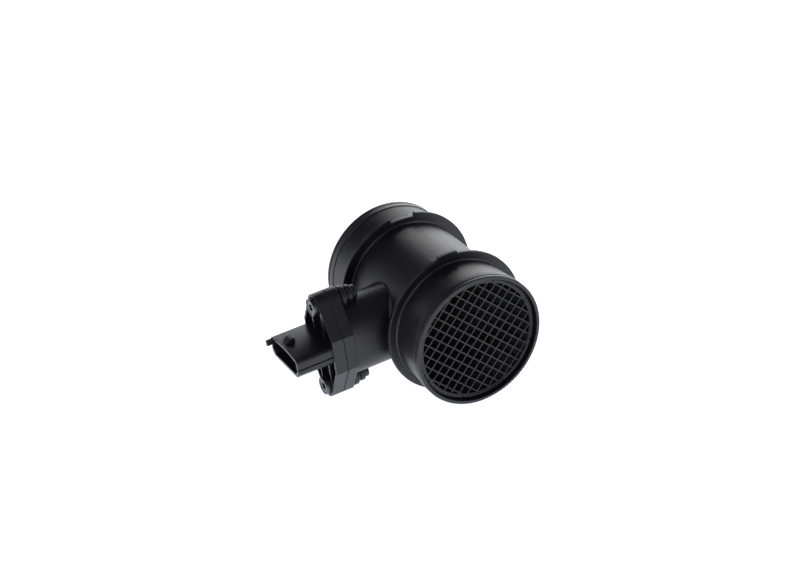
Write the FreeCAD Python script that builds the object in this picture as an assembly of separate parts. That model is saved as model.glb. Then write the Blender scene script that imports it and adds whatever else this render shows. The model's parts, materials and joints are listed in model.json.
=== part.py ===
import FreeCAD, Part
import math
import os

# Mass airflow sensor: a plastic duct section with a flow straightener and a plug-in sensor.
# Origin where the duct axis meets the sensor axis. +Y follows the air from inlet to outlet,
# the sensor and its connector point to -X, and +Z is up. Sizes are in millimetres.

# Duct, with a collar for a hose at each end and a stop ring behind each collar
duct_bore_radius = 35.0
tube_wall = 2.5
inlet_end_y = -53.1
outlet_end_y = 57.4
inlet_ring_y = -26.2
outlet_ring_y = 31.4
ring_height = 6.05
ring_thickness = 2.5
ring_edge_radius = 0.5
ring_root_radius = 1.0
collar_root_step = 0.9
collar_taper = 1.2
rim_band_step = 0.4
rim_band_length = 6.6
rim_band_edge_radius = 0.25
rim_edge_radius = 0.6
rim_groove_depth = 0.5
rim_groove_width = 0.9
rim_lip_length = 2.2
outlet_collar_wall = 2.4
outlet_flare_length = 6.0
outlet_flare_radius = 2.0

# Marks that line up the hoses: a tab on one ring, a notch in the other and two small triangles
ring_tab_height = 1.45
ring_tab_centre_angle = 90.0
ring_tab_angle = 16.0
ring_notch_depth = 2.35
ring_notch_centre_angle = 86.4
ring_notch_angle = 21.7
inlet_mark_size = 3.4
inlet_mark_angle = 98.5
inlet_mark_offset = 10.4
outlet_mark_size = 2.4
outlet_mark_angle = 75.2
outlet_mark_offset = 3.9
mark_height = 0.6

# Flow straightener
grid_pocket_wall = 2.0
grid_clearance = 0.1
grid_face_step = 1.0
grid_lip = 0.15
grid_opening_relief = 0.8
grid_face_depth = 2.4
grid_shoulder_step = 1.3
grid_depth = 8.4
grid_bar_setback = 0.5
cell_pitch = 5.4
bar_width = 0.75
grid_turn = 45.0
grid_slot_width = 0.8
grid_slot_depth = 1.1
grid_edge_radius = 0.3
grid_arcs = 8

# Neck and its flange
sensor_axis_z = 0.5
neck_radius = 16.8
neck_straight = 12.6
neck_wall = 2.6
neck_fillet = 1.6
parting_x = -67.5
neck_flange_thickness = 7.0
parting_groove_width = 0.7
parting_groove_depth = 0.6
flange_side_margin = 0.8
flange_side_half_height = 10.8
flange_corner_radius = 1.5
screw_offset = 3.75
boss_radius = 6.4
boss_rib_taper = 1.0
boss_core_radius = 4.2
boss_rib_length = 3.0
boss_gap_length = 1.5
boss_edge_radius = 0.6
boss_web_width = 3.0
boss_end_wall = 1.6

# Screws
screw_shank_radius = 2.0
screw_clearance = 0.1
screw_length = 22.4
screw_hole_end_gap = 1.0
screw_point_length = 1.5
screw_point_radius = 1.0
screw_head_radius = 5.4
screw_head_height = 3.5
screw_head_rim = 0.7
screw_head_dish = 0.5
screw_head_dish_run = 0.4
screw_head_taper = 0.1
screw_head_taper_height = 1.2
screw_head_edge_radius = 0.3
screw_head_rim_radius = 0.2
screw_drive_radius = 2.0
screw_drive_lobe_radius = 0.6
screw_drive_depth = 2.0
screw_drive_lobes = 6

# Flange of the plug-in sensor
plate_thickness = 3.0
tray_height = 4.0
tray_wall = 1.4
screw_head_gap = 0.5
screw_seat_radius = 5.2
screw_seat_height = 3.0
tray_rib_thickness = 1.3
tray_rib_gap = 0.15
tray_rib_drop = 0.6

# Connector
connector_centre_y = 0.8
connector_rise = 2.0
connector_half_width = 17.2
connector_half_height = 6.9
connector_dome_slope = 11.8
connector_corner_radius = 3.0
connector_foot_inset = 2.8
connector_wall = 1.6
connector_length = 22.3
socket_depth = 17.0
rail_groove_drop = 1.1
rail_groove_width = 0.9
rail_groove_depth = 0.8
latch_length = 5.3
latch_width = 4.8
latch_height = 2.7
latch_setback = 2.6
latch_offset_y = 2.2
latch_foot = 1.2
latch_front_height = 0.9
latch_ramp_length = 2.4
latch_edge_radius = 0.4
key_tab_length = 3.3
key_tab_height = 3.4
pin_count = 5
pin_pitch = 5.0
pin_pocket_gap = 0.4
pin_thickness = 0.8
pin_height = 2.8
pin_tip_setback = 6.0
pin_tip_chamfer = 0.7
pin_jog_lead = 2.8
pin_jog_length = 8.0
pin_inner_length = 5.5
pin_clearance = 0.05

# Spigot and tongue
spigot_length = 9.0
spigot_clearance = 0.3
seal_section_radius = 1.25
seal_groove_from_flange = 4.4
seal_groove_gap = 0.5
tongue_clearance = 1.2
tongue_floor_thickness = 4.3
tongue_tip_x = 16.0
tongue_lead_edge_radius = 2.6
tongue_tail_edge_radius = 1.3
cover_thickness = 1.5
channel_cover_thickness = 2.4
cover_clearance = 0.1
cover_ledge = 1.2
contact_headroom = 0.8
circuit_pocket_gap = 2.5
circuit_pocket_length = 34.0
circuit_pocket_lead_wall = 0.4
circuit_pocket_tail_wall = 2.8
circuit_floor_drop = 1.4
circuit_shelf_length = 6.0
channel_gap = 9.0
channel_width = 7.0
channel_wall = 3.0
channel_lead_wall = 2.4
channel_tail_wall = 3.0
channel_turn_radius = 3.15
channel_outlet_length = 7.0
temperature_notch_gap = 27.5
temperature_notch_length = 9.0
temperature_notch_depth = 3.4
temperature_bead_radius = 1.0
temperature_bead_half_length = 1.5
temperature_bead_edge_radius = 0.6
temperature_lead_radius = 0.3
temperature_lead_grip = 1.5
temperature_lead_end_gap = 0.2

# Circuit, with each part's length along X, width along Y and height
base_plate_thickness = 1.0
base_plate_margin = 0.6
board_thickness = 0.8
board_margin = 1.2
chip_arm_width = 6.0
chip_arm_end_gap = 1.5
chip_arm_clearance = 0.2
chip_start_gap = 1.0
chip_width = 3.6
chip_thickness = 0.5
chip_end_margin = 0.5
processor_size = (8.0, 7.0, 1.4)
filter_capacitor_size = (3.2, 1.8, 1.5)
trim_resistor_size = (2.2, 1.4, 0.6)
processor_from_shelf = 10.8
filter_capacitor_from_end = 5.6
filter_capacitor_from_side = 2.5
trim_resistor_from_shelf = 3.6
trim_resistor_from_side = 3.2

# How far a cutting shape runs past the face it cuts, and how far two mouldings run into each other
overcut = 1.0

# Distance within which two places are the same
tolerance = 0.01

# Sizes that follow from those above: directions
x_axis = FreeCAD.Vector(1, 0, 0)
y_axis = FreeCAD.Vector(0, 1, 0)
z_axis = FreeCAD.Vector(0, 0, 1)
origin = FreeCAD.Vector(0, 0, 0)

# Duct and flow straightener
tube_radius = duct_bore_radius + tube_wall
collar_root_radius = tube_radius + collar_root_step
collar_tip_radius = collar_root_radius + collar_taper
rim_band_radius = collar_tip_radius + rim_band_step
ring_radius = tube_radius + ring_height
outlet_bore_radius = rim_band_radius - outlet_collar_wall
grid_seat_radius = rim_band_radius - grid_pocket_wall
grid_face_radius = grid_seat_radius - grid_face_step
grid_opening_radius = duct_bore_radius - grid_lip
grid_face_y = inlet_end_y + grid_face_depth
grid_shoulder_y = grid_face_y + grid_shoulder_step
grid_back_y = grid_face_y + grid_depth
bar_front_y = grid_face_y + grid_bar_setback

# Flanges and screws
neck_bore_radius = neck_radius - neck_wall
neck_flange_back_x = parting_x + neck_flange_thickness
flange_half_width = neck_radius + flange_side_margin
lug_radius = screw_head_radius + screw_head_gap + tray_wall
screw_offset_z = neck_radius + neck_straight / 2 + screw_offset
screw_places = {"upper": sensor_axis_z + screw_offset_z, "lower": sensor_axis_z - screw_offset_z}
plate_face_x = parting_x - plate_thickness
tray_top_x = plate_face_x - tray_height
tray_rib_y = screw_head_radius + tray_rib_gap + tray_rib_thickness / 2
seat_face_x = plate_face_x - screw_seat_height
screw_end_x = seat_face_x + screw_length
screw_hole_end_x = screw_end_x + screw_hole_end_gap
boss_end_x = screw_hole_end_x + boss_end_wall

# Connector and contacts
connector_end_x = tray_top_x - connector_length
connector_centre_z = sensor_axis_z + connector_rise
socket_floor_x = connector_end_x + socket_depth
pin_bottom_z = connector_centre_z - pin_height / 2
pin_jog_start_x = socket_floor_x + pin_jog_lead
pin_jog_end_x = pin_jog_start_x + pin_jog_length

# Spigot, tongue and circuit
spigot_end_x = parting_x + spigot_length
tongue_half_width = neck_bore_radius - tongue_clearance
circuit_floor_z = sensor_axis_z - circuit_floor_drop
board_floor_z = circuit_floor_z + base_plate_thickness
board_top_z = board_floor_z + board_thickness
cover_seat_z = pin_bottom_z + pin_height + contact_headroom
tongue_top_z = cover_seat_z + cover_thickness
tongue_bottom_z = circuit_floor_z - tongue_floor_thickness
channel_floor_z = board_floor_z
channel_seat_z = tongue_top_z - channel_cover_thickness
notch_floor_y = temperature_notch_depth - tongue_half_width
pocket_start_x = spigot_end_x + circuit_pocket_gap
pocket_end_x = pocket_start_x + circuit_pocket_length
pocket_near_y = notch_floor_y + circuit_pocket_lead_wall + cover_ledge
pocket_far_y = tongue_half_width - circuit_pocket_tail_wall
pocket_centre_y = (pocket_near_y + pocket_far_y) / 2
pin_inner_pitch = 2 * (-pocket_near_y - pin_thickness / 2 - pin_pocket_gap) / (pin_count - 1)
seal_groove_width = 2 * seal_section_radius + seal_groove_gap
shelf_end_x = pocket_start_x + circuit_shelf_length
board_start_x = shelf_end_x + board_margin
board_end_x = pocket_end_x - board_margin
board_near_y = pocket_near_y + board_margin
board_far_y = pocket_far_y - board_margin
processor_x = board_start_x + processor_from_shelf
filter_capacitor_x = board_end_x - filter_capacitor_from_end
filter_capacitor_rows_y = (board_near_y + filter_capacitor_from_side,
                           board_far_y - filter_capacitor_from_side)
trim_resistor_x = board_start_x + trim_resistor_from_shelf
trim_resistor_y = board_near_y + trim_resistor_from_side
pin_inner_x = pocket_start_x + pin_inner_length
channel_near_start_x = pocket_end_x + channel_gap
channel_near_end_x = channel_near_start_x + channel_width
channel_far_end_x = tongue_tip_x - channel_wall
channel_far_start_x = channel_far_end_x - channel_width
channel_lead_y = channel_lead_wall - tongue_half_width
channel_turn_end_y = tongue_half_width - channel_tail_wall
channel_turn_start_y = channel_turn_end_y - channel_width
chip_start_x = channel_near_start_x + chip_start_gap
chip_arm_end_x = channel_near_end_x - chip_arm_end_gap
temperature_notch_x = spigot_end_x + temperature_notch_gap
temperature_sensor_y = notch_floor_y - temperature_notch_depth / 2


def rounded_wire(corners, to_point):
    """Closed wire through (u, v, radius) corners, with a tangent arc at each corner."""
    arcs = {}
    starts = []
    ends = []
    count = len(corners)
    for index in range(count):
        u, v, radius = corners[index]
        before = corners[index - 1]
        after = corners[(index + 1) % count]
        corner = FreeCAD.Vector(u, v, 0)
        towards_before = (FreeCAD.Vector(before[0], before[1], 0) - corner).normalize()
        towards_after = (FreeCAD.Vector(after[0], after[1], 0) - corner).normalize()
        if radius == 0:
            starts.append(corner)
            ends.append(corner)
            continue
        half_angle = towards_before.getAngle(towards_after) / 2
        setback = radius / math.tan(half_angle)
        start = corner + towards_before * setback
        end = corner + towards_after * setback
        bisector = (towards_before + towards_after).normalize()
        centre = corner + bisector * (radius / math.sin(half_angle))
        middle = centre - bisector * radius
        arcs[index] = Part.Arc(to_point(start), to_point(middle), to_point(end)).toShape()
        starts.append(start)
        ends.append(end)
    path = []
    for index in range(count):
        if index in arcs:
            path.append(arcs[index])
        following = (index + 1) % count
        if ends[index].distanceToPoint(starts[following]) > tolerance / 10:
            path.append(Part.LineSegment(to_point(ends[index]), to_point(starts[following])).toShape())
    return Part.Wire(path)


def in_xy(point):
    return FreeCAD.Vector(point.x, point.y, 0)


def in_xz(point):
    return FreeCAD.Vector(point.x, 0, point.y)


def in_yz(point):
    return FreeCAD.Vector(0, point.x, point.y)


def turned_about_y(corners, angle=360.0):
    """Solid of revolution about the duct axis from (radius, y, corner radius) points."""
    face = Part.Face(rounded_wire(corners, in_xy))
    return face.revolve(origin, y_axis, angle)


def turned_about_x(corners, centre_z=0.0):
    """Solid of revolution about an axis along X at height centre_z, from (x, radius, corner radius)."""
    solid = Part.Face(rounded_wire(corners, in_xy)).revolve(origin, x_axis, 360.0)
    solid.translate(z_axis * centre_z)
    return solid


def prism_along_x(wire, start_x, end_x):
    """Solid from a wire in the YZ plane, between two X positions."""
    solid = Part.Face(wire).extrude(x_axis * (end_x - start_x))
    solid.translate(x_axis * start_x)
    return solid


def block(low_x, high_x, low_y, high_y, low_z, high_z):
    corner = FreeCAD.Vector(low_x, low_y, low_z)
    return Part.makeBox(high_x - low_x, high_y - low_y, high_z - low_z, corner)


def rod_along_x(radius, start_x, end_x, centre_y=0.0, centre_z=0.0):
    start = FreeCAD.Vector(start_x, centre_y, centre_z)
    return Part.makeCylinder(radius, end_x - start_x, start, x_axis)


def rod_along_y(radius, start_y, end_y):
    return Part.makeCylinder(radius, end_y - start_y, y_axis * start_y, y_axis)


def ring_sector(inner_radius, outer_radius, start_y, end_y, centre_angle, width_angle):
    """Part of a ring about the duct axis; angles run from +X towards +Z."""
    corners = [(inner_radius, start_y, 0), (outer_radius, start_y, 0),
               (outer_radius, end_y, 0), (inner_radius, end_y, 0)]
    sector = turned_about_y(corners, width_angle)
    sector.rotate(origin, y_axis, -(centre_angle + width_angle / 2))
    return sector


def single(shape):
    """The one solid of a shape, with its seams between like faces removed."""
    return shape.removeSplitter().Solids[0]


def save(name, shape):
    shape.exportStep("parts/" + name + ".step")


def flange_wire(inset=0.0):
    """Outline of both sensor flanges, moved inwards by inset: flat sides and two round lugs."""
    across = flange_half_width
    along = screw_offset_z - flange_side_half_height
    slant = math.atan2(across, along) - math.asin(lug_radius / math.hypot(across, along))
    side = flange_half_width - inset
    height = flange_side_half_height - inset * math.tan(slant / 2)
    apex = height + side / math.tan(slant)
    low = sensor_axis_z - height
    high = sensor_axis_z + height
    corner = flange_corner_radius
    lug = lug_radius - inset
    corners = [(-side, low, corner), (-side, high, corner), (0, sensor_axis_z + apex, lug),
               (side, high, corner), (side, low, corner), (0, sensor_axis_z - apex, lug)]
    return rounded_wire(corners, in_yz)


def oval_wire(radius):
    """Rounded oval about the sensor axis, longer along Z, as the neck and what fits in it."""
    end = radius + neck_straight / 2
    low = sensor_axis_z - end
    high = sensor_axis_z + end
    corners = [(-radius, low, radius), (-radius, high, radius), (radius, high, radius), (radius, low, radius)]
    return rounded_wire(corners, in_yz)


def duct_outside():
    """Tube with its stop rings, tapered collars and grooved rims, before it is bored."""
    band_in = inlet_end_y + rim_band_length
    band_out = outlet_end_y - rim_band_length
    groove_in = inlet_end_y + rim_lip_length
    groove_out = outlet_end_y - rim_lip_length
    groove_radius = rim_band_radius - rim_groove_depth
    inlet_ring_end_y = inlet_ring_y + ring_thickness
    outlet_ring_end_y = outlet_ring_y + ring_thickness
    corners = [(0, inlet_end_y, 0), (rim_band_radius, inlet_end_y, rim_edge_radius),
               (rim_band_radius, groove_in, 0), (groove_radius, groove_in, 0),
               (groove_radius, groove_in + rim_groove_width, 0),
               (rim_band_radius, groove_in + rim_groove_width, 0),
               (rim_band_radius, band_in, rim_band_edge_radius), (collar_tip_radius, band_in, 0),
               (collar_root_radius, inlet_ring_y, ring_root_radius),
               (ring_radius, inlet_ring_y, ring_edge_radius),
               (ring_radius, inlet_ring_end_y, ring_edge_radius),
               (tube_radius, inlet_ring_end_y, ring_root_radius),
               (tube_radius, outlet_ring_y, ring_root_radius),
               (ring_radius, outlet_ring_y, ring_edge_radius),
               (ring_radius, outlet_ring_end_y, ring_edge_radius),
               (collar_root_radius, outlet_ring_end_y, ring_root_radius),
               (collar_tip_radius, band_out, 0), (rim_band_radius, band_out, rim_band_edge_radius),
               (rim_band_radius, groove_out - rim_groove_width, 0),
               (groove_radius, groove_out - rim_groove_width, 0),
               (groove_radius, groove_out, 0), (rim_band_radius, groove_out, 0),
               (rim_band_radius, outlet_end_y, rim_edge_radius), (0, outlet_end_y, 0)]
    return turned_about_y(corners)


def duct_inside():
    """Bore, with the flow straightener's seat at the inlet and a flare at the outlet."""
    flare_start_y = outlet_ring_y + ring_thickness
    flare_end_y = flare_start_y + outlet_flare_length
    corners = [(0, inlet_end_y - overcut, 0), (grid_seat_radius, inlet_end_y - overcut, 0),
               (grid_seat_radius, grid_back_y, 0), (duct_bore_radius, grid_back_y, 0),
               (duct_bore_radius, flare_start_y, outlet_flare_radius),
               (outlet_bore_radius, flare_end_y, outlet_flare_radius),
               (outlet_bore_radius, outlet_end_y + overcut, 0), (0, outlet_end_y + overcut, 0)]
    return turned_about_y(corners)


def alignment_mark(size, radius, angle, base_y, point_y):
    """Small raised triangle on the duct, from its base to its point along the duct axis."""
    half = size / 2
    corners = [(-half, base_y, 0), (half, base_y, 0), (0, point_y, 0)]
    prism = Part.Face(rounded_wire(corners, in_xy)).extrude(z_axis * (radius + mark_height + overcut))
    low_y = min(base_y, point_y)
    high_y = max(base_y, point_y)
    skin = rod_along_y(radius + mark_height, low_y, high_y).cut(rod_along_y(radius - overcut, low_y, high_y))
    mark = prism.common(skin)
    mark.rotate(origin, y_axis, 90 - angle)
    return mark


def screw_boss(centre_z):
    """Boss behind a lug: rib discs, each a step smaller, on a core joined to the neck by a web."""
    start = neck_flange_back_x
    step = boss_gap_length + boss_rib_length
    core = boss_core_radius
    edge = boss_edge_radius
    corners = [(start - overcut, 0, 0), (start - overcut, core, 0)]
    for index in range(int((boss_end_x - start) / step)):
        rib_start = start + boss_gap_length + index * step
        rib_end = rib_start + boss_rib_length
        rib_radius = boss_radius - index * boss_rib_taper
        corners += [(rib_start, core, 0), (rib_start, rib_radius, edge),
                    (rib_end, rib_radius, edge), (rib_end, core, 0)]
    corners += [(boss_end_x, core, edge), (boss_end_x, 0, 0)]
    boss = turned_about_x(corners, centre_z)
    half = boss_web_width / 2
    low_z = min(sensor_axis_z, centre_z)
    high_z = max(sensor_axis_z, centre_z)
    web = block(start - overcut, boss_end_x - edge, -half, half, low_z, high_z)
    return boss.fuse(web)


def is_neck_joint(edge):
    """True for the edge where the neck meets the main tube."""
    middle = edge.valueAt((edge.FirstParameter + edge.LastParameter) / 2)
    beyond_straight = max(0.0, abs(middle.z - sensor_axis_z) - neck_straight / 2)
    from_neck = math.hypot(middle.y, beyond_straight)
    from_duct = math.hypot(middle.x, middle.z)
    on_both = abs(from_neck - neck_radius) < tolerance and abs(from_duct - tube_radius) < tolerance
    return on_both and middle.x < 0


def neck_flange():
    """Flange that the sensor bolts to, with a shallow groove round the parting line."""
    groove_end_x = parting_x + parting_groove_width
    flange = prism_along_x(flange_wire(), groove_end_x, neck_flange_back_x)
    return flange.fuse(prism_along_x(flange_wire(parting_groove_depth), parting_x, groove_end_x))


def housing():
    """Duct, neck, neck flange and screw bosses, one moulding."""
    outlet_ring_end_y = outlet_ring_y + ring_thickness
    body = duct_outside()
    body = body.cut(ring_sector(ring_radius - ring_notch_depth, ring_radius + overcut,
                                outlet_ring_y - overcut, outlet_ring_end_y + overcut,
                                ring_notch_centre_angle, ring_notch_angle))
    body = body.fuse(prism_along_x(oval_wire(neck_radius), neck_flange_back_x - overcut, 0))
    body = body.makeFillet(neck_fillet, [edge for edge in body.Edges if is_neck_joint(edge)])
    inlet_point_y = inlet_ring_y + ring_thickness + inlet_mark_offset
    outlet_point_y = outlet_ring_end_y + outlet_mark_offset
    additions = [neck_flange(),
                 ring_sector(collar_root_radius - overcut, ring_radius + ring_tab_height, inlet_ring_y,
                             inlet_ring_y + ring_thickness, ring_tab_centre_angle, ring_tab_angle),
                 alignment_mark(inlet_mark_size, tube_radius, inlet_mark_angle,
                                inlet_point_y - inlet_mark_size, inlet_point_y),
                 alignment_mark(outlet_mark_size, collar_root_radius, outlet_mark_angle,
                                outlet_point_y + outlet_mark_size, outlet_point_y)]
    additions += [screw_boss(centre_z) for centre_z in screw_places.values()]
    body = body.fuse(additions)
    cuts = [duct_inside(), prism_along_x(oval_wire(neck_bore_radius), parting_x - overcut, 0)]
    cuts += [rod_along_x(screw_shank_radius + screw_clearance, parting_x - overcut, screw_hole_end_x,
                         0, centre_z)
             for centre_z in screw_places.values()]
    return single(body.cut(cuts))


def grid_frame():
    """Frame ring: a body in the housing's seat and a narrower face with slots and reliefs."""
    outer = grid_seat_radius - grid_clearance
    edge = grid_edge_radius
    corners = [(grid_opening_radius, grid_face_y, edge), (grid_face_radius, grid_face_y, edge),
               (grid_face_radius, grid_shoulder_y, 0), (outer, grid_shoulder_y, edge),
               (outer, grid_back_y, 0), (grid_opening_radius, grid_back_y, 0)]
    frame = turned_about_y(corners)
    arc = 360.0 / grid_arcs
    slot_angle = math.degrees(grid_slot_width / grid_face_radius)
    cuts = []
    for index in range(grid_arcs):
        start_y = grid_face_y - overcut
        cuts.append(ring_sector(grid_face_radius - grid_slot_depth, grid_face_radius + overcut,
                                start_y, grid_shoulder_y, (index + 1 / 2) * arc, slot_angle))
        if index % 2 == 0:
            cuts.append(ring_sector(grid_opening_radius - overcut, grid_opening_radius + grid_opening_relief,
                                    start_y, bar_front_y, index * arc, arc))
    return frame.cut(cuts)


def inlet_grid():
    """Square lattice of thin bars, turned to stand on its corners, in its frame."""
    trim_radius = grid_opening_radius + grid_edge_radius
    bars_each_side = int(trim_radius / cell_pitch)
    bars = []
    for index in range(-bars_each_side, bars_each_side + 1):
        offset = index * cell_pitch
        half_length = math.sqrt(trim_radius ** 2 - offset ** 2) + overcut
        low = offset - bar_width / 2
        high = offset + bar_width / 2
        bars.append(block(-half_length, half_length, bar_front_y, grid_back_y, low, high))
        bars.append(block(low, high, bar_front_y, grid_back_y, -half_length, half_length))
    lattice = bars[0].fuse(bars[1:])
    lattice.rotate(origin, y_axis, grid_turn)
    lattice = lattice.common(rod_along_y(trim_radius, bar_front_y, grid_back_y))
    return single(lattice.fuse(grid_frame()))


def connector_wire(inset=0.0):
    """Connector shroud section, moved inwards by inset: chamfered foot and a low domed top."""
    centre_y = connector_centre_y
    half_width = connector_half_width - inset
    half_height = connector_half_height - inset
    corner = connector_corner_radius - inset
    foot_z = connector_centre_z - half_height
    foot_half = half_width - connector_foot_inset
    side_low_z = foot_z + connector_foot_inset
    slope = math.radians(connector_dome_slope)
    corner_setback = corner * math.tan((math.pi / 2 - slope) / 2)
    dome = (half_width / math.cos(slope) - corner_setback) / math.tan(slope)
    apex_z = connector_centre_z + half_height + dome * (1 / math.cos(slope) - 1)
    shoulder_z = apex_z - half_width * math.tan(slope)
    corners = [(centre_y - foot_half, foot_z, 0), (centre_y + foot_half, foot_z, 0),
               (centre_y + half_width, side_low_z, 0), (centre_y + half_width, shoulder_z, corner),
               (centre_y, apex_z, dome), (centre_y - half_width, shoulder_z, corner),
               (centre_y - half_width, side_low_z, 0)]
    return rounded_wire(corners, in_yz)


def contact_blade(index, start_x, end_x, clearance):
    """Blade that jogs from the socket's pitch to the circuit's, or with a clearance its slot."""
    from_middle = index - (pin_count - 1) / 2
    outer_y = connector_centre_y + from_middle * pin_pitch
    inner_y = from_middle * pin_inner_pitch
    half = pin_thickness / 2 + clearance
    route = [(start_x, outer_y), (pin_jog_start_x, outer_y), (pin_jog_end_x, inner_y), (end_x, inner_y)]
    corners = [(x, y - half, 0) for x, y in route] + [(x, y + half, 0) for x, y in reversed(route)]
    blade = Part.Face(rounded_wire(corners, in_xy)).extrude(z_axis * (pin_height + 2 * clearance))
    blade.translate(z_axis * (pin_bottom_z - clearance))
    return blade


def connector_latch():
    """Ramped locking lug on the connector's top."""
    top_z = connector_centre_z + connector_half_height
    start_x = connector_end_x + latch_setback
    ramp_x = start_x + latch_ramp_length
    end_x = start_x + latch_length
    corners = [(start_x, top_z - latch_foot, 0), (start_x, top_z + latch_front_height, 0),
               (ramp_x, top_z + latch_height, latch_edge_radius),
               (end_x, top_z + latch_height, latch_edge_radius), (end_x, top_z - latch_foot, 0)]
    lug = Part.Face(rounded_wire(corners, in_xz)).extrude(y_axis * latch_width)
    lug.translate(y_axis * (connector_centre_y + latch_offset_y - latch_width / 2))
    return lug


def connector_shroud():
    """Shroud with a locking lug, a key tab beside its mouth and a rail groove in each side."""
    outer = prism_along_x(connector_wire(), connector_end_x, plate_face_x + overcut)
    side_y = connector_centre_y + connector_half_width
    key_tab = block(connector_end_x - key_tab_length, connector_end_x + overcut,
                    side_y - connector_wall, side_y,
                    connector_centre_z, connector_centre_z + key_tab_height)
    high_z = connector_centre_z - rail_groove_drop + rail_groove_width / 2
    low_z = high_z - rail_groove_width
    near_y = connector_centre_y - connector_half_width
    grooves = [block(connector_end_x - overcut, plate_face_x, near_y - overcut,
                     near_y + rail_groove_depth, low_z, high_z),
               block(connector_end_x - overcut, plate_face_x, side_y - rail_groove_depth,
                     side_y + overcut, low_z, high_z)]
    return outer.cut(grooves).fuse([connector_latch(), key_tab])


def sensor_flange():
    """Plate with a raised tray wall, a seat for each screw and ribs beside the seats."""
    plate = prism_along_x(flange_wire(), plate_face_x, parting_x)
    wall = prism_along_x(flange_wire(), tray_top_x, plate_face_x + overcut)
    wall = wall.cut(prism_along_x(flange_wire(tray_wall), tray_top_x - overcut, plate_face_x + 2 * overcut))
    additions = [wall]
    for centre_z in screw_places.values():
        additions.append(rod_along_x(screw_seat_radius, seat_face_x, plate_face_x + overcut, 0, centre_z))
        for side in (-1, 1):
            rib_y = side * tray_rib_y
            additions.append(block(tray_top_x + tray_rib_drop, plate_face_x + overcut,
                                   rib_y - tray_rib_thickness / 2, rib_y + tray_rib_thickness / 2,
                                   min(centre_z, sensor_axis_z), max(centre_z, sensor_axis_z)))
    return plate.fuse(additions)


def spigot():
    """Oval plug in the neck's bore, with a groove for the seal."""
    groove_middle_x = parting_x + seal_groove_from_flange
    groove_start_x = groove_middle_x - seal_groove_width / 2
    groove_end_x = groove_middle_x + seal_groove_width / 2
    plug = prism_along_x(oval_wire(neck_bore_radius - spigot_clearance), parting_x - overcut, spigot_end_x)
    groove = prism_along_x(oval_wire(neck_bore_radius + overcut), groove_start_x, groove_end_x)
    core = prism_along_x(oval_wire(neck_bore_radius - 2 * seal_section_radius), parting_x, spigot_end_x)
    return plug.cut(groove.cut(core))


def tongue_blank():
    """Tongue across the air stream, its leading edge rounder than its tail."""
    lead = tongue_lead_edge_radius
    tail = tongue_tail_edge_radius
    corners = [(-tongue_half_width, tongue_bottom_z, lead), (tongue_half_width, tongue_bottom_z, tail),
               (tongue_half_width, tongue_top_z, tail), (-tongue_half_width, tongue_top_z, lead)]
    return prism_along_x(rounded_wire(corners, in_yz), spigot_end_x - overcut, tongue_tip_x)


def circuit_pocket():
    """Pocket for the circuit, with a shelf where the contacts end."""
    deep = block(shelf_end_x, pocket_end_x, pocket_near_y, pocket_far_y,
                 circuit_floor_z, tongue_top_z + overcut)
    shelf = block(pocket_start_x, shelf_end_x + overcut, pocket_near_y, pocket_far_y,
                  pin_bottom_z, tongue_top_z + overcut)
    return deep.fuse(shelf)


def measuring_channel():
    """U-shaped channel: in at the leading edge near the tip, round at the tail, back past the chip."""
    floor_z = channel_floor_z
    top_z = channel_seat_z + overcut
    inlet = block(channel_far_start_x, channel_far_end_x, -tongue_half_width - overcut,
                  channel_turn_start_y, floor_z, top_z)
    turn = block(channel_near_start_x, channel_far_end_x, channel_turn_start_y,
                 channel_turn_end_y, floor_z, top_z)
    back = block(channel_near_start_x, channel_near_end_x, channel_lead_y,
                 channel_turn_start_y + overcut, floor_z, top_z)
    channel = inlet.fuse([turn, back]).removeSplitter()
    corners = [edge for edge in channel.Edges
               if abs(edge.tangentAt(edge.FirstParameter).z) > 1 - tolerance
               and abs(edge.CenterOfMass.y - channel_turn_end_y) < tolerance]
    channel = channel.makeFillet(channel_turn_radius, corners)
    outlet = block(channel_near_start_x, channel_near_end_x, channel_lead_y,
                   channel_lead_y + channel_outlet_length, tongue_bottom_z - overcut, top_z)
    return channel.fuse(outlet)


def cover_outlines(gap, high_z):
    """Blocks over the circuit pocket and the channel: covers with a gap, or their rebates with none."""
    ledge = cover_ledge - gap
    circuit = block(pocket_start_x - ledge, pocket_end_x + ledge, pocket_near_y - ledge,
                    pocket_far_y + ledge, cover_seat_z, high_z)
    channel = block(channel_near_start_x - ledge, channel_far_end_x + ledge, channel_lead_y - ledge,
                    channel_turn_end_y + ledge, channel_seat_z, high_z)
    return [circuit, channel]


def chip_arm(clearance=0.0):
    """Arm of the base plate that reaches through the wall into the channel, or its slot."""
    half = chip_arm_width / 2 + clearance
    return block(pocket_end_x - base_plate_margin, chip_arm_end_x + clearance,
                 pocket_centre_y - half, pocket_centre_y + half,
                 circuit_floor_z, board_floor_z + clearance)


def temperature_notch():
    """Notch in the tongue's leading edge, with a hole at each end for a lead."""
    end_x = temperature_notch_x + temperature_notch_length
    reach = temperature_lead_grip + temperature_lead_end_gap
    notch = block(temperature_notch_x, end_x, -tongue_half_width - overcut, notch_floor_y,
                  tongue_bottom_z - overcut, tongue_top_z + overcut)
    holes = rod_along_x(temperature_lead_radius, temperature_notch_x - reach, end_x + reach,
                        temperature_sensor_y, sensor_axis_z)
    return notch.fuse(holes)


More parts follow.
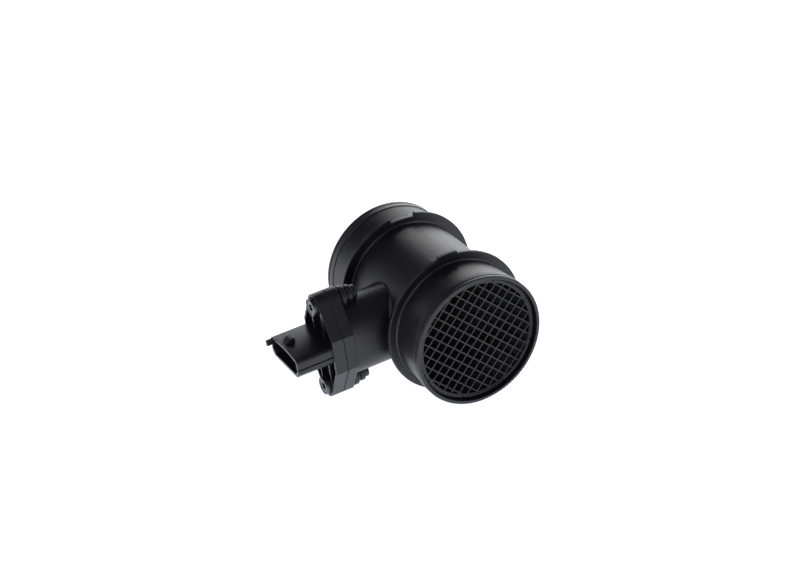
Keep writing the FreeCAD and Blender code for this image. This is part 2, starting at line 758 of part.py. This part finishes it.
def sensor_body():
    """Flange, connector shroud, spigot and tongue, one moulding."""
    body = sensor_flange().fuse([connector_shroud(), spigot(), tongue_blank()])
    socket = prism_along_x(connector_wire(connector_wall), connector_end_x - overcut, socket_floor_x)
    cuts = [socket, circuit_pocket(), measuring_channel(), chip_arm(chip_arm_clearance), temperature_notch()]
    cuts += cover_outlines(0.0, tongue_top_z + overcut)
    cuts += [contact_blade(index, socket_floor_x - overcut, pocket_start_x + overcut, pin_clearance)
             for index in range(pin_count)]
    cuts += [rod_along_x(screw_shank_radius + screw_clearance, tray_top_x - overcut, parting_x + overcut,
                         0, centre_z)
             for centre_z in screw_places.values()]
    return single(body.cut(cuts))


def contact_pin(index):
    """Blade contact with a tapered tip."""
    tip_x = connector_end_x + pin_tip_setback
    blade = contact_blade(index, tip_x, pin_inner_x, 0.0)
    tip_edges = [edge for edge in blade.Edges
                 if abs(edge.CenterOfMass.x - tip_x) < tolerance
                 and abs(edge.tangentAt(edge.FirstParameter).y) > 1 - tolerance]
    return blade.makeChamfer(pin_tip_chamfer, tip_edges)


def in_pocket(margin, low_z, high_z):
    """Block on the circuit pocket's floor, a margin inside its walls."""
    return block(shelf_end_x + margin, pocket_end_x - margin, pocket_near_y + margin,
                 pocket_far_y - margin, low_z, high_z)


def base_plate():
    plate = in_pocket(base_plate_margin, circuit_floor_z, board_floor_z)
    return single(plate.fuse(chip_arm()))


def on_board(size, centre_x, centre_y):
    """Circuit part of the given size on the board."""
    length, width, height = size
    return block(centre_x - length / 2, centre_x + length / 2, centre_y - width / 2, centre_y + width / 2,
                 board_top_z, board_top_z + height)


def sensor_chip():
    """Measuring chip on the end of the base plate's arm."""
    return block(chip_start_x, chip_arm_end_x - chip_end_margin, pocket_centre_y - chip_width / 2,
                 pocket_centre_y + chip_width / 2, board_floor_z, board_floor_z + chip_thickness)


def seal_ring():
    """Round-section seal that follows the neck's oval bore."""
    path = oval_wire(neck_bore_radius - seal_section_radius)
    path.translate(x_axis * (parting_x + seal_groove_from_flange))
    first = path.Edges[0]
    start = first.valueAt(first.FirstParameter)
    direction = first.tangentAt(first.FirstParameter)
    section = Part.Wire(Part.makeCircle(seal_section_radius, start, direction))
    return path.makePipeShell([section], True, False)


def screw(centre_z):
    """Pan head screw with a dished top inside a rim, and a six-lobed recess."""
    head = screw_head_radius
    rim_inner = head - screw_head_rim
    shank = screw_shank_radius
    top_x = seat_face_x - screw_head_height
    dish_x = top_x + screw_head_dish
    corners = [(dish_x, 0, 0), (dish_x, rim_inner - screw_head_dish_run, 0),
               (top_x, rim_inner, screw_head_rim_radius),
               (top_x, head - screw_head_taper, screw_head_edge_radius),
               (top_x + screw_head_taper_height, head, 0), (seat_face_x, head, 0),
               (seat_face_x, shank, 0), (screw_end_x - screw_point_length, shank, 0),
               (screw_end_x, screw_point_radius, 0), (screw_end_x, 0, 0)]
    body = turned_about_x(corners, centre_z)
    start_x = top_x - overcut
    floor_x = dish_x + screw_drive_depth
    recess = [rod_along_x(screw_drive_radius, start_x, floor_x, 0, centre_z)]
    for index in range(screw_drive_lobes):
        angle = 2 * math.pi * index / screw_drive_lobes
        recess.append(rod_along_x(screw_drive_lobe_radius, start_x, floor_x,
                                  screw_drive_radius * math.cos(angle),
                                  centre_z + screw_drive_radius * math.sin(angle)))
    return single(body.cut(recess))


def air_temperature_sensor():
    """Glass bead on its two leads, held in the walls of the tongue's notch."""
    middle_x = temperature_notch_x + temperature_notch_length / 2
    reach = temperature_notch_length / 2 + temperature_lead_grip
    half = temperature_bead_half_length
    lead = temperature_lead_radius
    bead = temperature_bead_radius
    edge = temperature_bead_edge_radius
    corners = [(-reach, 0, 0), (-reach, lead, 0), (-half, lead, 0), (-half, bead, edge),
               (half, bead, edge), (half, lead, 0), (reach, lead, 0), (reach, 0, 0)]
    sensor = turned_about_x(corners)
    sensor.translate(FreeCAD.Vector(middle_x, temperature_sensor_y, sensor_axis_z))
    return sensor


os.makedirs("parts", exist_ok=True)
save("housing", housing())
save("inlet_grid", inlet_grid())
save("sensor_body", sensor_body())
electronics_cover, channel_cover = cover_outlines(cover_clearance, tongue_top_z)
save("electronics_cover", electronics_cover)
save("channel_cover", channel_cover)
save("base_plate", base_plate())
save("circuit_board", in_pocket(board_margin, board_floor_z, board_top_z))
save("processor_chip", on_board(processor_size, processor_x, pocket_centre_y))
for number, row_y in enumerate(filter_capacitor_rows_y, 1):
    save("filter_capacitor_%d" % number, on_board(filter_capacitor_size, filter_capacitor_x, row_y))
save("trim_resistor", on_board(trim_resistor_size, trim_resistor_x, trim_resistor_y))
save("sensor_chip", sensor_chip())
save("seal_ring", seal_ring())
save("air_temperature_sensor", air_temperature_sensor())
for name, centre_z in screw_places.items():
    save("screw_" + name, screw(centre_z))
for index in range(pin_count):
    save("contact_pin_%d" % (index + 1), contact_pin(index))
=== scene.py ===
import json

import bpy
from mathutils import Matrix, Vector


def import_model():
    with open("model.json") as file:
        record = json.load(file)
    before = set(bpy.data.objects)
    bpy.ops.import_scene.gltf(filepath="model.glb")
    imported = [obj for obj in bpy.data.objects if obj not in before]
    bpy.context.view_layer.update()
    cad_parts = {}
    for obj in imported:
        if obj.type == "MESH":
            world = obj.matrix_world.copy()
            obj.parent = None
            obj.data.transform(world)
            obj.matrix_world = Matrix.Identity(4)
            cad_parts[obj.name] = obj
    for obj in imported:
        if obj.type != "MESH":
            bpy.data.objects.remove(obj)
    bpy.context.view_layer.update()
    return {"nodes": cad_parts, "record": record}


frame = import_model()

# Mass airflow sensor: looks, floor, light and camera around the solid model, in metres.

# Camera
IMAGE_WIDTH = 800
FOCAL_PIXELS = 1996.7
SENSOR_WIDTH = 36.0
CAMERA_REACH = 50.0
CAMERA_PLACE = Vector((-0.4327, -0.8889, 0.6183))
CAMERA_RIGHT = Vector((0.8684, -0.4820, -0.1165))
CAMERA_UP = Vector((0.3415, 0.4110, 0.8453))
CAMERA_BACK = Vector((-0.3595, -0.7738, 0.5215))

# The part rests on its two stop rings and its lower lug, so the floor is tilted under it
FLOOR_NORMAL = Vector((0.133, 0.0, 0.991)).normalized()
FLOOR_DISTANCE = 0.04355
FLOOR_HALF_SIZE = 6.0
FLOOR_GLOW = 1.0
FLOOR_GLOW_COLOUR = (0.95, 0.965, 1.08, 1.0)
FLOOR_LIGHT = (0.93, 0.93, 0.93)
FLOOR_DARK = (0.90, 0.90, 0.90)
FLOOR_PATTERN_SCALE = 0.6
FLOOR_SPREAD = (0.3, 0.7)
FLOOR_ROUGHNESS = 0.9
FLOOR_SPECULAR = 0.1

# Light: white up to the sweep's top and dim from the ceiling's start, both given as how steeply
# a direction rises, where 0 is level and 1 straight up
SWEEP_COLOUR = (0.93, 0.95, 1.08, 1.0)
SWEEP_STRENGTH = 1.0
SWEEP_TOP = 0.0
CEILING_STRENGTH = 0.055
CEILING_START = 0.45

# Soft boxes, with each one's place, width and power in watts
SOFT_BOXES = {
    "back_right_box": ((0.9, 1.2, 0.45), 1.1, 9.0),
    "left_box": ((-1.3, 0.5, 0.35), 0.6, 1.5),
    "front_box": ((-0.55, -1.2, 0.95), 0.8, 2.5),
    "overhead_box": ((-0.85, -0.1, 1.2), 0.8, 3.5),
    "right_box": ((1.35, -0.35, 0.75), 0.8, 5.0),
}

# Edges: how far the shading rounds them, and how far its normal has to lean to show wear, which on plastic
# edges is also a painted highlight
EDGE_RADIUS = 0.00045
EDGE_SAMPLES = 6
EDGE_BAND_RADIUS = 0.0007
EDGE_BAND_LEAN_START = 0.015
EDGE_BAND_LEAN_END = 0.25

# Moulded plastic. A spread is where a pattern's dark ends and its light begins, and a smooth
# and a rough are added to the roughness at its two ends
BLUE_CAST = 1.6
PLASTIC_SPECULAR = 0.5
MOTTLE_SCALE = 70.0
MOTTLE_DETAIL = 5.0
MOTTLE_SPREAD = (0.3, 0.7)
MOTTLE_DARK = 0.8
MOTTLE_LIGHT = 1.2
STREAK_SCALE = 420.0
STREAK_STRETCH = (1.0, 0.12, 1.0)
STREAK_SMOOTH = -0.05
STREAK_ROUGH = 0.07
GRAIN_SCALE = 1500.0
GRAIN_DEPTH = 0.00008
RIPPLE_SCALE = 620.0
RIPPLE_DEPTH = 0.0001
RIPPLE_STRENGTH = 0.5
DUST_SCALE = 1300.0
DUST_SPREAD = (0.74, 0.82)
DUST_COVER = 0.3
DUST_LIGHT = 3.0
# Plastic edges: colour lightened partly as rubbed wear and partly as a painted highlight, and a smoother
# finish there
PLASTIC_WEAR_AND_HIGHLIGHT_COVER = 0.55
PLASTIC_WEAR_AND_HIGHLIGHT_LIGHT = 2.6
PLASTIC_WEAR_POLISH = 0.1

# Metal
TARNISH_SCALE = 300.0
TARNISH_DETAIL = 4.0
TARNISH_SPREAD = (0.3, 0.65)
TARNISH_DARK = 0.78
METAL_SMOOTH = -0.05
METAL_ROUGH = 0.1
METAL_WEAR_COVER = 0.4
METAL_WEAR_LIGHT = 1.3
BRUSH_STRETCH = (0.06, 1.0, 1.0)
BRUSH_DEPTH = 0.00002
BRUSH_STRENGTH = 0.4

# Laminate, ceramic, film, silicon, rubber and glass
COATING_SPREAD = (0.35, 0.65)
COATING_ROUGHNESS_RANGE = 0.05
COATING_DEPTH = 0.00005
COATING_STRENGTH = 0.2

# How fine the noise in a pattern goes
PLAIN_DETAIL = 1.0
FINE_DETAIL = 2.0
COATING_DETAIL = 3.0

# Sockets of the colour mixing node, which has the same names for several of them
MIX_AMOUNT = 0
MIX_BELOW = 6
MIX_ABOVE = 7
MIX_RESULT = 2

# Each plastic's tone, roughness and strength of grain
PLASTICS = {
    "housing_plastic": (0.0042, 0.38, 0.70),
    "grid_plastic": (0.0030, 0.50, 0.20),
    "sensor_plastic": (0.0050, 0.37, 0.45),
    "cover_plastic": (0.0140, 0.40, 0.25),
}

# Each metal's colour, roughness, scale of its lines and share of metal
METALS = {
    "plate_metal": ((0.70, 0.70, 0.72), 0.34, 4000.0, 1.0),
    "contact_plating": ((0.72, 0.71, 0.68), 0.28, 5000.0, 1.0),
    "screw_steel": ((0.13, 0.13, 0.14), 0.30, 3500.0, 0.9),
}

# Each coating's light tone, dark tone, roughness and scale
COATINGS = {
    "board_laminate": ((0.04, 0.16, 0.08), (0.02, 0.11, 0.05), 0.32, 1800.0),
    "chip_package": ((0.03, 0.03, 0.03), (0.02, 0.02, 0.02), 0.50, 3000.0),
    "capacitor_ceramic": ((0.48, 0.36, 0.24), (0.40, 0.29, 0.18), 0.45, 2500.0),
    "resistor_film": ((0.05, 0.05, 0.06), (0.03, 0.03, 0.04), 0.20, 2500.0),
    "sensor_silicon": ((0.20, 0.21, 0.26), (0.15, 0.16, 0.20), 0.12, 1200.0),
    "seal_rubber": ((0.025, 0.025, 0.025), (0.015, 0.015, 0.015), 0.60, 900.0),
    "bead_glass": ((0.36, 0.37, 0.35), (0.28, 0.29, 0.28), 0.10, 1500.0),
}


def new_material(name):
    """Material with its shader, node list and link list."""
    material = bpy.data.materials.new(name)
    material.use_nodes = True
    nodes = material.node_tree.nodes
    return material, nodes["Principled BSDF"], nodes, material.node_tree.links


def noise(nodes, links, scale, detail, stretch=None):
    """Noise over the object's own coordinates, stretched along its axes if asked."""
    place = nodes.new("ShaderNodeTexCoord").outputs["Object"]
    if stretch is not None:
        mapping = nodes.new("ShaderNodeMapping")
        mapping.inputs["Scale"].default_value = stretch
        links.new(place, mapping.inputs["Vector"])
        place = mapping.outputs["Vector"]
    texture = nodes.new("ShaderNodeTexNoise")
    texture.inputs["Scale"].default_value = scale
    texture.inputs["Detail"].default_value = detail
    links.new(place, texture.inputs["Vector"])
    return texture.outputs["Fac"]


def ramp(nodes, links, value, spread, dark, light):
    """Colour that runs from dark to light while a value crosses a spread."""
    node = nodes.new("ShaderNodeValToRGB")
    first, last = node.color_ramp.elements
    first.position, last.position = spread
    first.color = dark
    last.color = light
    links.new(value, node.inputs["Fac"])
    return node.outputs["Color"]


def map_range(nodes, links, value, low, high, start=0.0, end=1.0):
    """Number that runs from low to high while a value runs from start to end."""
    node = nodes.new("ShaderNodeMapRange")
    node.inputs["From Min"].default_value = start
    node.inputs["From Max"].default_value = end
    node.inputs["To Min"].default_value = low
    node.inputs["To Max"].default_value = high
    links.new(value, node.inputs["Value"])
    return node.outputs["Result"]


def mixed(nodes, links, amount, below, above_colour):
    """Colour that goes from a linked tone to a fixed one by an amount."""
    node = nodes.new("ShaderNodeMix")
    node.data_type = "RGBA"
    links.new(amount, node.inputs[MIX_AMOUNT])
    links.new(below, node.inputs[MIX_BELOW])
    node.inputs[MIX_ABOVE].default_value = above_colour
    return node.outputs[MIX_RESULT]


def subtracted(nodes, links, value, amount):
    """One linked number less another."""
    node = nodes.new("ShaderNodeMath")
    node.operation = "SUBTRACT"
    links.new(value, node.inputs[0])
    links.new(amount, node.inputs[1])
    return node.outputs[0]


def softened(nodes, radius):
    """Normal with the edges rounded by a radius."""
    node = nodes.new("ShaderNodeBevel")
    node.samples = EDGE_SAMPLES
    node.inputs["Radius"].default_value = radius
    return node.outputs["Normal"]


def bump(nodes, links, height, distance, strength, normal):
    """Normal that follows a height pattern over another normal."""
    node = nodes.new("ShaderNodeBump")
    node.inputs["Distance"].default_value = distance
    node.inputs["Strength"].default_value = strength
    links.new(height, node.inputs["Height"])
    links.new(normal, node.inputs["Normal"])
    return node.outputs["Normal"]


def edge_mask(nodes, links):
    """0 on faces and 1 along edges, where the rounded normal leaves the face's own."""
    across = nodes.new("ShaderNodeVectorMath")
    across.operation = "DOT_PRODUCT"
    links.new(softened(nodes, EDGE_BAND_RADIUS), across.inputs[0])
    links.new(nodes.new("ShaderNodeNewGeometry").outputs["Normal"], across.inputs[1])
    return map_range(nodes, links, across.outputs["Value"], 0.0, 1.0,
                     1.0 - EDGE_BAND_LEAN_START, 1.0 - EDGE_BAND_LEAN_END)


def near_black(tone):
    """Tone with the slight blue of a black moulding."""
    return (tone, tone, tone * BLUE_CAST, 1.0)


def opaque(colour, share=1.0):
    """Share of a colour, with nothing showing through."""
    return tuple(part * share for part in colour) + (1.0,)


def moulded_plastic(name, tone, roughness, grain):
    """Glass-filled moulding: mottle, flow streaks, ripple, grain, polished edges lightened in colour
    partly as wear and partly as a painted highlight, and specks of dust.
    """
    material, shader, nodes, links = new_material(name)
    mottle = noise(nodes, links, MOTTLE_SCALE, MOTTLE_DETAIL)
    streaks = noise(nodes, links, STREAK_SCALE, FINE_DETAIL, STREAK_STRETCH)
    fine = noise(nodes, links, GRAIN_SCALE, FINE_DETAIL)
    specks = noise(nodes, links, DUST_SCALE, PLAIN_DETAIL)
    coarse = noise(nodes, links, RIPPLE_SCALE, PLAIN_DETAIL)
    edge_band = edge_mask(nodes, links)

    base = ramp(nodes, links, mottle, MOTTLE_SPREAD, near_black(tone * MOTTLE_DARK),
                near_black(tone * MOTTLE_LIGHT))
    # Edges lightened in colour, partly as rubbed wear and partly as a painted highlight
    edge_lightening = map_range(nodes, links, edge_band, 0.0, PLASTIC_WEAR_AND_HIGHLIGHT_COVER)
    base = mixed(nodes, links, edge_lightening, base, near_black(tone * PLASTIC_WEAR_AND_HIGHLIGHT_LIGHT))
    dust = map_range(nodes, links, specks, 0.0, DUST_COVER, *DUST_SPREAD)
    base = mixed(nodes, links, dust, base, near_black(tone * DUST_LIGHT))
    links.new(base, shader.inputs["Base Color"])

    satin = map_range(nodes, links, streaks, roughness + STREAK_SMOOTH, roughness + STREAK_ROUGH)
    polish = map_range(nodes, links, edge_band, 0.0, PLASTIC_WEAR_POLISH)
    links.new(subtracted(nodes, links, satin, polish), shader.inputs["Roughness"])
    shader.inputs["Specular IOR Level"].default_value = PLASTIC_SPECULAR

    edges = softened(nodes, EDGE_RADIUS)
    rippled = bump(nodes, links, coarse, RIPPLE_DEPTH, RIPPLE_STRENGTH, edges)
    links.new(bump(nodes, links, fine, GRAIN_DEPTH, grain, rippled), shader.inputs["Normal"])
    return material


def metal(name, colour, roughness, brush_scale, metallic):
    """Metal with fine drawn or turned lines, slight tarnish and brighter edges."""
    material, shader, nodes, links = new_material(name)
    lines = noise(nodes, links, brush_scale, FINE_DETAIL, BRUSH_STRETCH)
    tarnish = noise(nodes, links, TARNISH_SCALE, TARNISH_DETAIL)
    edge_band = edge_mask(nodes, links)

    base = ramp(nodes, links, tarnish, TARNISH_SPREAD, opaque(colour, TARNISH_DARK), opaque(colour))
    edge_lightening = map_range(nodes, links, edge_band, 0.0, METAL_WEAR_COVER)
    base = mixed(nodes, links, edge_lightening, base, opaque(colour, METAL_WEAR_LIGHT))
    links.new(base, shader.inputs["Base Color"])
    shader.inputs["Metallic"].default_value = metallic

    satin = map_range(nodes, links, tarnish, roughness + METAL_SMOOTH, roughness + METAL_ROUGH)
    links.new(satin, shader.inputs["Roughness"])
    edges = softened(nodes, EDGE_RADIUS)
    links.new(bump(nodes, links, lines, BRUSH_DEPTH, BRUSH_STRENGTH, edges), shader.inputs["Normal"])
    return material


def coated(name, light, dark, roughness, scale):
    """Two close tones and a shallow texture."""
    material, shader, nodes, links = new_material(name)
    pattern = noise(nodes, links, scale, COATING_DETAIL)
    base = ramp(nodes, links, pattern, COATING_SPREAD, opaque(dark), opaque(light))
    links.new(base, shader.inputs["Base Color"])
    satin = map_range(nodes, links, pattern, roughness - COATING_ROUGHNESS_RANGE,
                      roughness + COATING_ROUGHNESS_RANGE)
    links.new(satin, shader.inputs["Roughness"])
    edges = softened(nodes, EDGE_RADIUS)
    links.new(bump(nodes, links, pattern, COATING_DEPTH, COATING_STRENGTH, edges), shader.inputs["Normal"])
    return material


def finishes():
    """One material for each slot of the record."""
    materials = {}
    for make, settings in ((moulded_plastic, PLASTICS), (metal, METALS), (coated, COATINGS)):
        for name, values in settings.items():
            materials[name] = make(name, *values)
    return materials


def dress_nodes():
    """Give each node the finish that the record names for it."""
    materials = finishes()
    for entry in frame["record"]["subparts"]:
        node = frame["nodes"][entry["node"]]
        for slot in node.material_slots:
            slot.material = materials[entry["material_slot"]]


def floor():
    """Large pale plane under the part, which glows as a lit sweep does."""
    material, shader, nodes, links = new_material("floor")
    pattern = noise(nodes, links, FLOOR_PATTERN_SCALE, FINE_DETAIL)
    tone = ramp(nodes, links, pattern, FLOOR_SPREAD, opaque(FLOOR_DARK), opaque(FLOOR_LIGHT))
    links.new(tone, shader.inputs["Base Color"])
    shader.inputs["Roughness"].default_value = FLOOR_ROUGHNESS
    shader.inputs["Specular IOR Level"].default_value = FLOOR_SPECULAR
    shader.inputs["Emission Color"].default_value = FLOOR_GLOW_COLOUR
    shader.inputs["Emission Strength"].default_value = FLOOR_GLOW
    across = FLOOR_NORMAL.orthogonal().normalized()
    along = FLOOR_NORMAL.cross(across)
    centre = -FLOOR_DISTANCE * FLOOR_NORMAL
    signs = ((-1, -1), (1, -1), (1, 1), (-1, 1))
    corners = [centre + FLOOR_HALF_SIZE * (a * across + b * along) for a, b in signs]
    mesh = bpy.data.meshes.new("floor")
    mesh.from_pydata(corners, [], [range(len(corners))])
    mesh.materials.append(material)
    plane = bpy.data.objects.new("floor", mesh)
    bpy.context.scene.collection.objects.link(plane)


def world():
    """White sweep low round the part that fades to a dim ceiling."""
    studio = bpy.data.worlds.new("studio")
    studio.use_nodes = True
    nodes = studio.node_tree.nodes
    links = studio.node_tree.links
    background = nodes["Background"]
    background.inputs["Color"].default_value = SWEEP_COLOUR
    direction = nodes.new("ShaderNodeTexCoord").outputs["Generated"]
    split = nodes.new("ShaderNodeSeparateXYZ")
    links.new(direction, split.inputs["Vector"])
    strength = map_range(nodes, links, split.outputs["Z"], SWEEP_STRENGTH, CEILING_STRENGTH,
                         SWEEP_TOP, CEILING_START)
    links.new(strength, background.inputs["Strength"])
    bpy.context.scene.world = studio


def soft_box(name, place, size, power):
    """Square soft light that faces the middle of the part."""
    data = bpy.data.lights.new(name, "AREA")
    data.size = size
    data.energy = power
    light = bpy.data.objects.new(name, data)
    light.location = place
    light.rotation_euler = (-Vector(place)).to_track_quat("-Z", "Y").to_euler()
    bpy.context.scene.collection.objects.link(light)


def camera():
    """Camera of the photograph, with plain tones so that the white sweep stays white."""
    bpy.context.scene.view_settings.view_transform = "Standard"
    data = bpy.data.cameras.new("camera")
    data.sensor_fit = "HORIZONTAL"
    data.sensor_width = SENSOR_WIDTH
    data.lens = FOCAL_PIXELS * SENSOR_WIDTH / IMAGE_WIDTH
    data.clip_end = CAMERA_REACH
    taker = bpy.data.objects.new("camera", data)
    turn = Matrix((CAMERA_RIGHT, CAMERA_UP, CAMERA_BACK)).transposed().to_4x4()
    taker.matrix_world = Matrix.Translation(CAMERA_PLACE) @ turn
    bpy.context.scene.collection.objects.link(taker)
    bpy.context.scene.camera = taker


dress_nodes()
floor()
world()
for name, (place, size, power) in SOFT_BOXES.items():
    soft_box(name, place, size, power)
camera()
